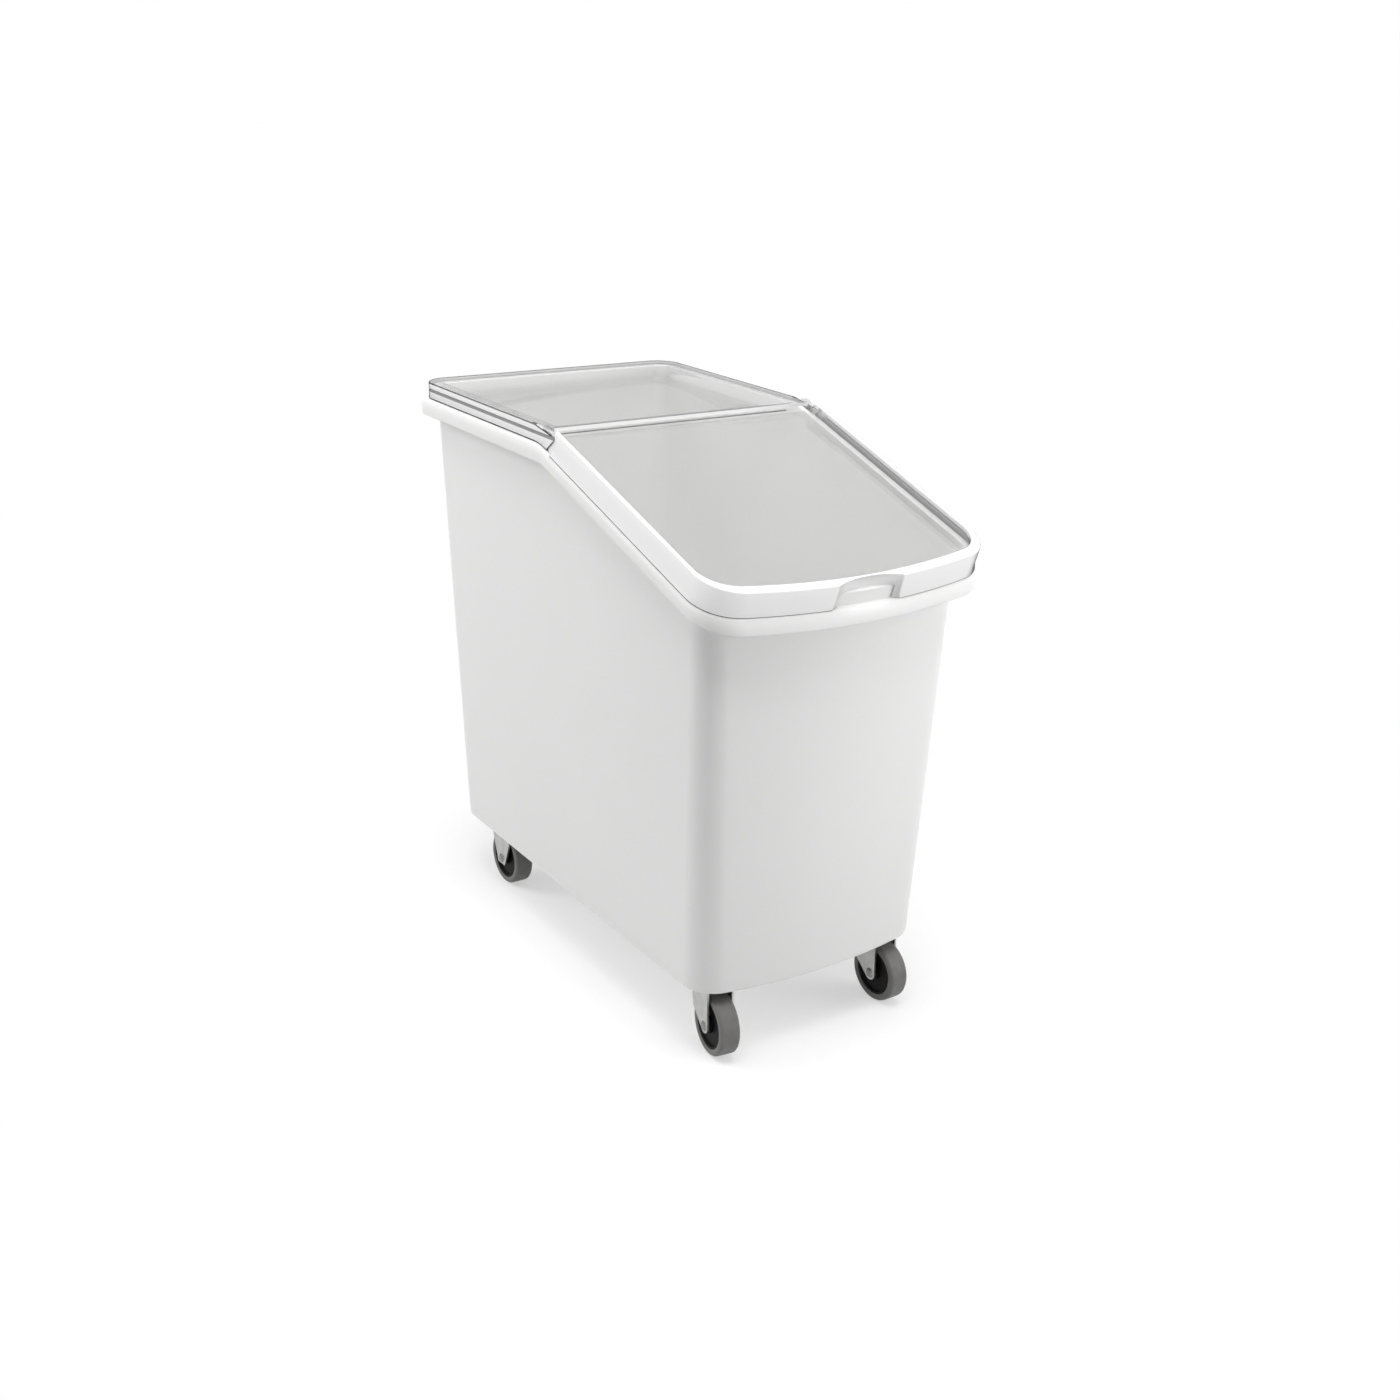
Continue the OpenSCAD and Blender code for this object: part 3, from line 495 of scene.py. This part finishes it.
BORE_EDGE, BOSS_EDGE, BOSS_DRAFT, SINK, RIB_UP = 0.4, 0.6, 0.3, 1.0, 1.0
RIB_SHORT = 2 * (SCREW_R + RIB_UP)


def box_points(y0, y1, z0, z1):
    return [(y0, z0), (y1, z0), (y1, z1), (y0, z1)]


def seat(name, x, y):
    """Four screw bosses under the floor with ribs between them, all sunk a little into the floor."""
    made = []
    top = UNDER_Z + SINK
    boss = [(SCREW_R, MOUNT_Z + BORE_EDGE), (SCREW_R + BORE_EDGE, MOUNT_Z),
            (BOSS_R - BOSS_EDGE, MOUNT_Z), (BOSS_R, MOUNT_Z + BOSS_EDGE),
            (BOSS_R + BOSS_DRAFT, top), (SCREW_R, top)]
    for i in (-1, 1):
        for j in (-1, 1):
            at = Matrix.Translation((x + i * SCREW_DX / 2, y + j * SCREW_DY / 2, 0))
            made.append(lathe("boss", boss, 40, at))
    for i in (-1, 1):
        for cx, cy, wx, wy in ((x + i * SCREW_DX / 2, y, RIB_T, SCREW_DY - RIB_SHORT),
                               (x, y + i * SCREW_DY / 2, SCREW_DX - RIB_SHORT, RIB_T)):
            points = box_points(cy - wy / 2, cy + wy / 2, MOUNT_Z + RIB_UP, top)
            made.append(prism("rib", points, cx - wx / 2, cx + wx / 2))
    with bpy.context.temp_override(active_object=made[0], selected_editable_objects=made):
        bpy.ops.object.join()
    made[0].name = name
    made[0].data.materials.append(WHITE)
    smooth(made[0], 40)
    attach(made[0], "bin")


for tag, x, y in (("fl", -SWIVEL_X, -SWIVEL_Y), ("fr", SWIVEL_X, -SWIVEL_Y),
                  ("rl", -RIGID_X, RIGID_Y), ("rr", RIGID_X, RIGID_Y)):
    seat("caster_seat_" + tag, x, y)


# Rear lid
def rear_outline(i, y, ys):
    hw = LID_HW - i
    front = [(hw * k / ACROSS_N, -y) for k in range(ACROSS_N + 1)]
    return both(front + [(hw, -v) for v in ys] + back_half(hw, -LID_BACK + i, LID_BR - i))


def bend_ys():
    bend = [bent(0, ARC * (1 - k / BEND_N), 0)[1] for k in range(BEND_N + 1)]
    return bend + spread(BEND_Y, LID_BACK - LID_BR, SIDE_N)


def dish_ys(y):
    """Places along the dish's side that follow those of the lid's outer wall."""
    share = (LID_BACK - LID_BR - y) / (LID_BACK - LID_BR + CHEEK_REACH)
    return [y + (v + CHEEK_REACH) * share for v in bend_ys()]


def rear_ring(i, z):
    return [(x, -t, z) for x, t in rear_outline(i, i - CHEEK_REACH, bend_ys())]


def rear_foot(i, up=0.0):
    return [(x, -t, ledge_at(-t) + SKIRT_GAP + up)
            for x, t in rear_outline(i, i - CHEEK_REACH, bend_ys())]


def dish_ring(i, y, z):
    return [(x, -t, z) for x, t in rear_outline(i, y, dish_ys(y))]


BAND_W, DISH_H = 15.5, 16.0
FOOT_IN, FOOT_UP = 0.5, 1.4
GROOVE_Z, GROOVE_H, GROOVE_D = 690.5, 2.2, 0.5
# Dish and its underside: in from the band, back from the ridge, and down from the top
DISH = [(0.7, 1.5, 0.25), (2.2, 4.5, 1.1), (3.2, 8.0, 2.6), (5.2, 30.0, 9.0),
        (6.0, 44.0, 12.0), (7.0, 56.0, 14.2), (8.4, 65.0, 15.5), (10.0, 73.0, DISH_H)]
UNDER = [(9.6, 73.0, DISH_H + 3.0), (7.0, 64.0, DISH_H + 2.6), (4.6, 52.0, 15.6),
         (2.6, 36.0, 12.6), (1.6, 20.0, 8.4), (0.8, 1.0, RIDGE_T)]


def rear_loops():
    loops = [dish_ring(BAND_W + i, RIDGE_IN + y, REAR_TOP - d) for i, y, d in UNDER]
    loops += [rear_ring(LID_T, REAR_TOP - RIDGE_T)]
    loops += [rear_foot(LID_T), rear_foot(FOOT_IN), rear_foot(0, FOOT_UP)]
    loops += [rear_ring(i, GROOVE_Z + z)
              for i, z in ((0, -GROOVE_H), (GROOVE_D, GROOVE_D - GROOVE_H),
                           (GROOVE_D, GROOVE_H - GROOVE_D), (0, GROOVE_H))]
    loops += [rear_ring(LID_R * (1 - math.cos(a)), REAR_TOP - LID_R * (1 - math.sin(a)))
              for a in arc_steps(4)]
    loops += [dish_ring(BAND_W, RIDGE_IN, REAR_TOP)]
    loops += [dish_ring(BAND_W + i, RIDGE_IN + y, REAR_TOP - d) for i, y, d in DISH]
    return loops


# One material for each band of faces, from the underside round the wall to the dish: painted dark edge
# lines on the skirt's foot and top rounding, painted white haze on the outer wall and a painted grey
# line in the groove
rear_faces = [PANEL_FACE] * (len(UNDER) + 1) + [EDGE_SHADE_AND_JOINT_FACE] * 2 + [WALL_REFLECTION_FACE] + [LINE_SHADE_FACE] * 3
rear_faces += [WALL_REFLECTION_FACE] + [EDGE_SHADE_AND_JOINT_FACE] * 4 + [PANEL_FACE] * (len(DISH) + 1)
rear = skin("rear_lid_clear", rear_loops(), rear_faces, LID_MATERIALS)
LOW, HIGH = LEDGE_Z - LIP_H, REAR_TOP + OVERCUT
# Cutters start inside the wall and end outside the flared foot of the skirt
CUT_IN, CUT_OUT, CUT_FRONT = SKIRT_X - OVERCUT, LID_HW + 4 * OVERCUT, -CHEEK_REACH - 2 * OVERCUT
CHEEK = [(CHEEK_FALL, HIGH), (CHEEK_FALL, REAR_TOP), SPLIT_HIGH, SPLIT_LOW, (SPLIT_LOW[0], LOW),
         (-CHEEK_FALL, LOW), (-CHEEK_FALL, HIGH)]
FRONT_CUT = box_points(CUT_FRONT, RIDGE_Y, LOW, HIGH)
SLOT = box_points(CUT_FRONT, SLOT_Y, LOW, HIGH)
# The front cut leaves faces with the painted white haze of the outer wall; the cheeks leave the split's
# faces dark as a joint
combine(rear, [prism("front_cut", FRONT_CUT, -CUT_X, CUT_X)], "DIFFERENCE", WALL_REFLECTION_FACE)
combine(rear, mirrored(lambda m: prism("slot", SLOT, m * SLOT_X, m * CUT_X)), "DIFFERENCE")
combine(rear, mirrored(lambda m: prism("cheek", CHEEK, m * CUT_IN, m * CUT_OUT)), "DIFFERENCE",
        EDGE_SHADE_AND_JOINT_FACE)


def lap(m):
    """Inner half of the side wall before the hinge, outside the reach of the front lid's outer half."""
    made = prism("lap", box_points(-CHEEK_REACH - OVERCUT, SPLIT_LOW[0], LOW, HIGH),
                 m * CUT_IN, m * (LID_HW - LAP_T))
    return combine(made, [rod("keep", LAP_R, m * (CUT_IN - OVERCUT), m * LID_HW)], "DIFFERENCE")


# The laps leave faces with the painted white haze of the outer wall
combine(rear, mirrored(lap), "DIFFERENCE", WALL_REFLECTION_FACE)
combine(rear, mirrored(lambda m: rod("stub", STUB_R, m * EAR_X, m * WALL_MID)), "UNION")


# Front lid
def front_outline(i, i_front):
    hw = LID_HW - i
    front = front_half(hw, LID_RUN - i_front, LID_FR - i, LID_BOW)
    side = [(hw, t) for t in spread(front[-1][1], i - ARC, 2 * SIDE_N)]
    back = [(hw * (1 - k / ACROSS_N), i - ARC) for k in range(ACROSS_N + 1)]
    return both(front + side + back)


def front_ring(i, n, i_front=None):
    return [sloped(x, ARC + t, n) for x, t in front_outline(i, i if i_front is None else i_front)]


# Rail, its fillet and the skirt's foot are finer than in the solids
FILLET, GREY_LINE_H = 4.0, 2.0
RAIL_SIDE, RAIL_FRONT = 6.5, 14.0
# Underside's edge: in from the wall, and down
PANEL_EDGE = [(2.0, 0.0), (0.6, 0.4), (0.0, 1.4)]
# Foot of the skirt: in at the sides, up from the ledge, and in at the front
FLARE = [(0.3, 0.5, 0.5), (-1.2, 0.4, -0.3), (-2.2, -0.3, -0.7), (-2.5, 0.7, -1.0)]
FLARE_H = 8.0


def front_loops():
    loops = [front_ring(LID_T + i, PANEL_H - d) for i, d in PANEL_EDGE]
    loops += [front_ring(LID_T, SKIRT_GAP)] + [front_ring(i, n, f) for i, n, f in FLARE]
    loops += [front_ring(0, FLARE_H)]
    loops += [front_ring(LID_R * (1 - math.cos(a)), FRONT_H - LID_R * (1 - math.sin(a)))
              for a in arc_steps(4)]
    for a in arc_steps(4):
        out, n = LID_R * (1 - math.sin(a)), FRONT_H - LID_R * (1 - math.cos(a))
        loops.append(front_ring(RAIL_SIDE - out, n, RAIL_FRONT - out))
    loops += [front_ring(RAIL_SIDE, PANEL_TOP + FILLET + GREY_LINE_H, RAIL_FRONT)]
    for a in arc_steps(5):
        inside, n = FILLET * (1 - math.cos(a)), PANEL_TOP + FILLET * (1 - math.sin(a))
        loops.append(front_ring(RAIL_SIDE + inside, n, RAIL_FRONT + inside))
    return loops


# One material for each band of faces, from the underside round the skirt and the rail to the panel:
# painted dark edge lines on the skirt's foot, painted white haze on the outer skirt and its top
# rounding, a painted grey band on the rail and a painted grey line at the rail's inner foot
front_faces = [PANEL_FACE] * len(PANEL_EDGE) + [EDGE_SHADE_AND_JOINT_FACE] * len(FLARE) + [WALL_REFLECTION_FACE] * 7
front_faces += [BAND_HAZE_AND_SHADE_FACE] * 5 + [LINE_SHADE_FACE] + [PANEL_FACE] * 5
lid = skin("front_lid_clear", front_loops(), front_faces, LID_MATERIALS)
HINGE_TOP, HINGE_BACK = FRONT_H + OVERCUT, -ARC - 2 * OVERCUT
HINGE_CUT = [yz(PANEL_START, -LIP_H), yz(PANEL_START, HINGE_TOP),
             yz(HINGE_BACK, HINGE_TOP), yz(HINGE_BACK, -LIP_H)]
combine(lid, [prism("hinge_cut", HINGE_CUT, -CUT_X, CUT_X)], "DIFFERENCE")
SPLIT_BACK, SPLIT_TOP = SPLIT_LOW[0] + CHEEK_FALL, REAR_TOP + FRONT_H
SPLIT = [(SPLIT_BACK, LOW), (SPLIT_LOW[0] - SPLIT_GAP, LOW),
         (SPLIT_LOW[0] - SPLIT_GAP, SPLIT_LOW[1]), (SPLIT_HIGH[0] - SPLIT_GAP, SPLIT_HIGH[1]),
         (SPLIT_HIGH[0] - SPLIT_GAP, SPLIT_TOP), (SPLIT_BACK, SPLIT_TOP)]
# The split and the sweep leave faces with the painted white haze of the outer skirt
combine(lid, mirrored(lambda m: prism("split", SPLIT, m * CUT_IN, m * CUT_OUT)), "DIFFERENCE",
        WALL_REFLECTION_FACE)
combine(lid, mirrored(lambda m: rod("sweep", SWEEP_R, m * (SKIRT_X + LAP_T), m * CUT_OUT)),
        "DIFFERENCE", WALL_REFLECTION_FACE)
PANEL_MID, EAR_END, BORE_FIT = PANEL_H + LID_T / 2, EAR_X + EAR_T, 0.05
ARM = [(PIVOT_Y, PIVOT_Z + EAR_R), yz(PANEL_START, FRONT_H - 2 * LID_T),
       yz(PANEL_START + EAR_R / 2, FRONT_H - LID_R), yz(ARM_END, FRONT_H - LID_R),
       yz(ARM_END, PANEL_MID), yz(PANEL_START + LID_T, PANEL_MID),
       (PIVOT_Y - EAR_R, PIVOT_Z), (PIVOT_Y, PIVOT_Z)]
JOIN = [yz(PANEL_START + 2 * EAR_R, FRONT_H - 2 * LID_R),
        yz(ARM_END - LID_R, FRONT_H - 2 * LID_R), yz(ARM_END - LID_R, PANEL_MID),
        yz(PANEL_START + 2 * EAR_R, PANEL_MID)]
for m in (1, -1):
    ear = rod("ear", EAR_R, m * EAR_X, m * EAR_END)
    combine(ear, [prism("arm", ARM, m * EAR_X, m * EAR_END)], "UNION")
    bore = rod("bore", STUB_R + BORE_FIT, m * (EAR_X - OVERCUT), m * (EAR_END + OVERCUT))
    combine(ear, [bore], "DIFFERENCE")
    combine(ear, [prism("join", JOIN, m * (EAR_X + EAR_T / 2), m * WALL_MID)], "UNION")
    combine(lid, [ear], "UNION")
to_slope = (Matrix.Translation(Vector(sloped(0, ARC, 0))) @ Matrix.Rotation(SLOPE, 4, "X")
            @ Matrix.Translation((0, NOTCH_D - LID_RUN - NOTCH_R, -OVERCUT)))


def plug(name, r, h, seg, matrix):
    """Round bar along z, placed by the matrix."""
    bm = bmesh.new()
    ends = [[bm.verts.new(matrix @ Vector((r * math.cos(a), r * math.sin(a), z)) * MM)
             for a in (2 * math.pi * i / seg for i in range(seg))] for z in (0, h)]
    bm.faces.new(list(reversed(ends[0])))
    bm.faces.new(ends[1])
    for i in range(seg):
        k = (i + 1) % seg
        bm.faces.new((ends[0][i], ends[0][k], ends[1][k], ends[1][i]))
    return new_object(name, bm)


# The notch leaves faces with the painted grey band and white haze of the rail
combine(lid, [plug("notch", NOTCH_R, FRONT_H + 2 * OVERCUT, 160, to_slope)], "DIFFERENCE", BAND_HAZE_AND_SHADE_FACE)
for obj, body, node in ((rear, "bin", "rear_lid"), (lid, "front_lid", "front_lid")):
    smooth(obj, 35, 0.4)
    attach(obj, body)
    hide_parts(node)


# Casters
# Material, smooth angle in degrees and rounding of the edges for each kind of caster piece
FINISH = {
    "plate_screws": (BRIGHT, 30, 0.3), "axle_sleeve": (BRIGHT, 30, 0.0),
    "axle_rivet": (DARK, 30, 0.4), "wheel_core": (BLACK, 30, 0.5), "tyre": (TYRE, 40, 0.4),
    "swivel_plate": (ZINC, 30, 0.4), "kingpin": (BRIGHT, 30, 0.4), "race_cup": (ZINC, 30, 0.4),
    "swivel_fork": (ZINC, 30, 0.6), "rigid_fork": (ZINC, 30, 0.6),
    "upper_balls": (BRIGHT, 60, 0.0), "lower_balls": (BRIGHT, 60, 0.0)}
for name, obj in nodes.items():
    kind = name.rpartition("_")[0]
    if kind in FINISH:
        mat, angle, rounding = FINISH[kind]
        obj.data.materials.clear()
        obj.data.materials.append(mat)
        smooth(obj, angle, rounding)


# Floor, light and camera
def camera_only(tree, shown, hidden):
    """What the camera, gloss and clear surfaces see, and what lights the object."""
    path = tree.nodes.new("ShaderNodeLightPath")
    either = path.outputs["Is Camera Ray"]
    for ray in ("Is Glossy Ray", "Is Transmission Ray"):
        larger = tree.nodes.new("ShaderNodeMath")
        larger.operation = "MAXIMUM"
        tree.links.new(either, larger.inputs[0])
        tree.links.new(path.outputs[ray], larger.inputs[1])
        either = larger.outputs[0]
    mix = tree.nodes.new("ShaderNodeMixShader")
    tree.links.new(either, mix.inputs[0])
    tree.links.new(hidden, mix.inputs[1])
    tree.links.new(shown, mix.inputs[2])
    return mix.outputs[0]


def add_node(tree, kind, **values):
    """New node with values for its inputs, by name."""
    made = tree.nodes.new("ShaderNode" + kind)
    for key, value in values.items():
        made.inputs[key].default_value = value
    return made


AMBIENT, FLOOR_HIDDEN, FLOOR_SHOWN, FLOOR_GLOW = 0.34, 0.6, 0.55, 0.49
# The floor fades to white outside an oval round the bin
FADE_SHAPE, FADE_START, FADE_END, FLOOR_R_M = (1.4, 1, 1), 0.36, 0.75, 9.0

world = bpy.data.worlds.new("studio")
scene.world = world
world.use_nodes = True
tree = world.node_tree
tree.nodes.clear()
seen = add_node(tree, "Background", Color=(1, 1, 1, 1), Strength=1.0)
ambient = add_node(tree, "Background", Color=(1, 1, 1, 1), Strength=AMBIENT)
out = add_node(tree, "OutputWorld")
tree.links.new(camera_only(tree, seen.outputs[0], ambient.outputs[0]), out.inputs["Surface"])

bm = bmesh.new()
bmesh.ops.create_circle(bm, cap_ends=True, radius=FLOOR_R_M, segments=96)
floor = new_object("floor", bm)
floor_mat = bpy.data.materials.new("floor_white")
floor_mat.use_nodes = True
tree = floor_mat.node_tree
tree.nodes.clear()
matt = add_node(tree, "BsdfDiffuse", Color=(FLOOR_HIDDEN, FLOOR_HIDDEN, FLOOR_HIDDEN, 1))
pale = add_node(tree, "BsdfDiffuse", Color=(FLOOR_SHOWN, FLOOR_SHOWN, FLOOR_SHOWN, 1))
glow = add_node(tree, "Emission", Strength=FLOOR_GLOW)
lit = add_node(tree, "AddShader")
tree.links.new(pale.outputs[0], lit.inputs[0])
tree.links.new(glow.outputs[0], lit.inputs[1])
far = add_node(tree, "Emission", Strength=1.0)
where = add_node(tree, "TexCoord")
oval = add_node(tree, "Mapping", Scale=FADE_SHAPE)
tree.links.new(where.outputs["Object"], oval.inputs["Vector"])
reach = add_node(tree, "VectorMath")
reach.operation = "LENGTH"
tree.links.new(oval.outputs["Vector"], reach.inputs[0])
fade = add_node(tree, "MapRange", **{"From Min": FADE_START, "From Max": FADE_END})
fade.interpolation_type = "SMOOTHSTEP"
tree.links.new(reach.outputs["Value"], fade.inputs["Value"])
shown = add_node(tree, "MixShader")
for socket, source in zip(shown.inputs, (fade.outputs["Result"], lit.outputs[0], far.outputs[0])):
    tree.links.new(source, socket)
out = add_node(tree, "OutputMaterial")
tree.links.new(camera_only(tree, shown.outputs[0], matt.outputs[0]), out.inputs["Surface"])
floor.data.materials.append(floor_mat)


def area(name, place, target, size, power, spread=180.0):
    data = bpy.data.lights.new(name, "AREA")
    data.shape, data.size, data.size_y, data.energy = "RECTANGLE", size[0], size[1], power
    data.spread = math.radians(spread)
    lamp = bpy.data.objects.new(name, data)
    lamp.visible_glossy = False
    lamp.location = place
    lamp.rotation_euler = (Vector(target) - Vector(place)).to_track_quat("-Z", "Y").to_euler()
    scene.collection.objects.link(lamp)


area("left_box", (-1.95, 1.95, 1.7), (0, 0, 0.4), (1.4, 1.8), 39)
area("right_box", (2.4, -1.6, 1.3), (0, 0, 0.4), (1.4, 1.8), 28)
area("front_box", (1.3, -1.8, 0.8), (0, -0.3, 0.66), (0.5, 0.4), 0.85, 50)
area("top_box", (-0.2, -0.4, 2.5), (0, 0, 0.4), (1.8, 1.8), 48)

CAM_LENS, CAM_SENSOR, CAM_DISTANCE, CAM_AIM = 43.53, 36, 2.1546, (0, -0.0452, 0.3432)
CAM_AZ, CAM_EL, CAM_ROLL = math.radians(-34.12), math.radians(20.88), math.radians(-1.75)
cam_data = bpy.data.cameras.new("camera")
cam_data.sensor_width = CAM_SENSOR
cam_data.lens = CAM_LENS
cam = bpy.data.objects.new("camera", cam_data)
scene.collection.objects.link(cam)
back = Vector((math.sin(CAM_AZ) * math.cos(CAM_EL), -math.cos(CAM_AZ) * math.cos(CAM_EL),
               math.sin(CAM_EL)))
right = Vector((math.cos(CAM_AZ), math.sin(CAM_AZ), 0))
up = back.cross(right)
turned_right = right * math.cos(CAM_ROLL) - up * math.sin(CAM_ROLL)
turned_up = right * math.sin(CAM_ROLL) + up * math.cos(CAM_ROLL)
place = Vector(CAM_AIM) + back * CAM_DISTANCE
cam.matrix_world = Matrix((
    (turned_right.x, turned_up.x, back.x, place.x),
    (turned_right.y, turned_up.y, back.y, place.y),
    (turned_right.z, turned_up.z, back.z, place.z),
    (0, 0, 0, 1)))
scene.camera = cam
